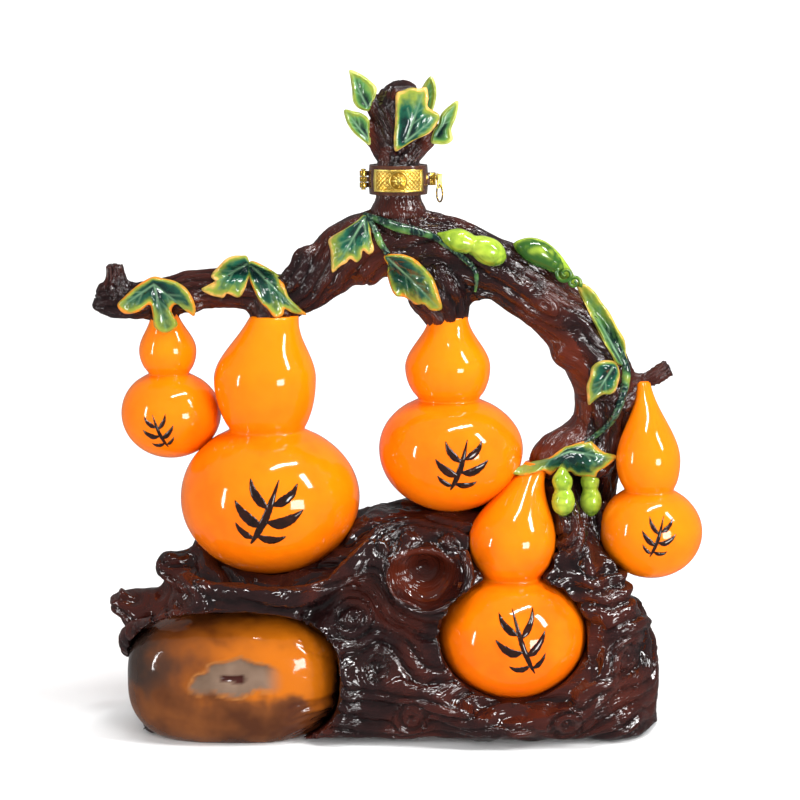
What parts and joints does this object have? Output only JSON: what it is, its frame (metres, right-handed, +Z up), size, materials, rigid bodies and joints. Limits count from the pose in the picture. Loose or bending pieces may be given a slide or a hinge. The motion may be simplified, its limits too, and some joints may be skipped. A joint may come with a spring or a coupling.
{
  "type": "ceramic gourd bottle",
  "caption": "Decorative glazed ceramic spirit bottle: hollow gourds hang on an arched vine over a root-wood base, with a leafy stopper held by a hinged locking band.",
  "frame": {"origin": "on the foot plane, under the middle of the base", "axes": "+Z up, the front with its boulder and relief faces -Y, +X to the viewer's right"},
  "size_m": [0.319, 0.1178, 0.3418],
  "materials": {
    "amber_glaze": "amber to brown, high-gloss glaze",
    "brown_enamel": "dark brown glossy lacquer",
    "dark_glaze": "very dark brown, high-gloss glaze",
    "fruit_glaze": "lime green glossy glaze",
    "gold_metal": "polished gold-coloured metal",
    "ink_glaze": "near-black glossy relief",
    "leaf_glaze": "dark green to yellow-green glossy glaze",
    "orange_glaze": "orange-yellow, high-gloss glaze",
    "seal_silicone": "cream silicone"
  },
  "bodies": {
    "bottle": {"arch": "dark_glaze", "arch_leaf": "leaf_glaze", "arch_strand": "leaf_glaze", "band_rear": "brown_enamel", "big_stem": "dark_glaze", "boulder": "amber_glaze", "crown_leaf_left": "leaf_glaze", "crown_leaf_right": "leaf_glaze", "drooping_leaf": "leaf_glaze", "gourd_big": "orange_glaze", "gourd_front": "orange_glaze", "gourd_left": "orange_glaze", "gourd_middle": "orange_glaze", "gourd_right": "orange_glaze", "hinge_pin": "gold_metal", "left_bough": "dark_glaze", "left_leaf": "leaf_glaze", "left_stub": "dark_glaze", "low_gourd_left": "fruit_glaze", "low_gourd_right": "fruit_glaze", "low_leaf": "leaf_glaze", "middle_stem": "dark_glaze", "neck": "dark_glaze", "outer_leaf": "leaf_glaze", "pod": "fruit_glaze", "relief_big": "ink_glaze", "relief_front": "ink_glaze", "relief_left": "ink_glaze", "relief_middle": "ink_glaze", "relief_right": "ink_glaze", "right_stub": "dark_glaze", "root_base": "dark_glaze", "trunk": "dark_glaze", "trunk_leaf": "leaf_glaze", "trunk_strand": "leaf_glaze", "young_gourd": "fruit_glaze"},
    "stopper": {"stopper": "dark_glaze", "stopper_leaf_front": "leaf_glaze", "stopper_leaf_lower_left": "leaf_glaze", "stopper_leaf_rear": "leaf_glaze", "stopper_leaf_right": "leaf_glaze", "stopper_leaf_upper_left": "leaf_glaze", "stopper_seal": "seal_silicone"},
    "band_front": {"band_front": "brown_enamel", "band_plate": "gold_metal"},
    "lock_core": {"lock_core": "gold_metal"},
    "pull_ring": {"pull_ring": "gold_metal"}
  },
  "joints": [
    {"name": "stopper_lift", "type": "slide", "parent": "bottle", "child": "stopper", "axis": [0, 0, 1], "range_m": [0, 0.045]},
    {"name": "band_hinge", "type": "hinge", "parent": "bottle", "child": "band_front", "pos_m": [-0.01515, 0, 0.2856], "axis": [0, 0, -1], "range_deg": [0, 100]},
    {"name": "lock_turn", "type": "hinge", "parent": "bottle", "child": "lock_core", "pos_m": [0.02195, 0.0024, 0.2866], "axis": [1, 0, 0], "range_deg": [0, 180]},
    {"name": "ring_swing", "type": "hinge", "parent": "lock_core", "child": "pull_ring", "pos_m": [0.02395, 0.0024, 0.2824], "axis": [0.342, -0.9397, 0], "range_deg": [-8, 80]}
  ]
}
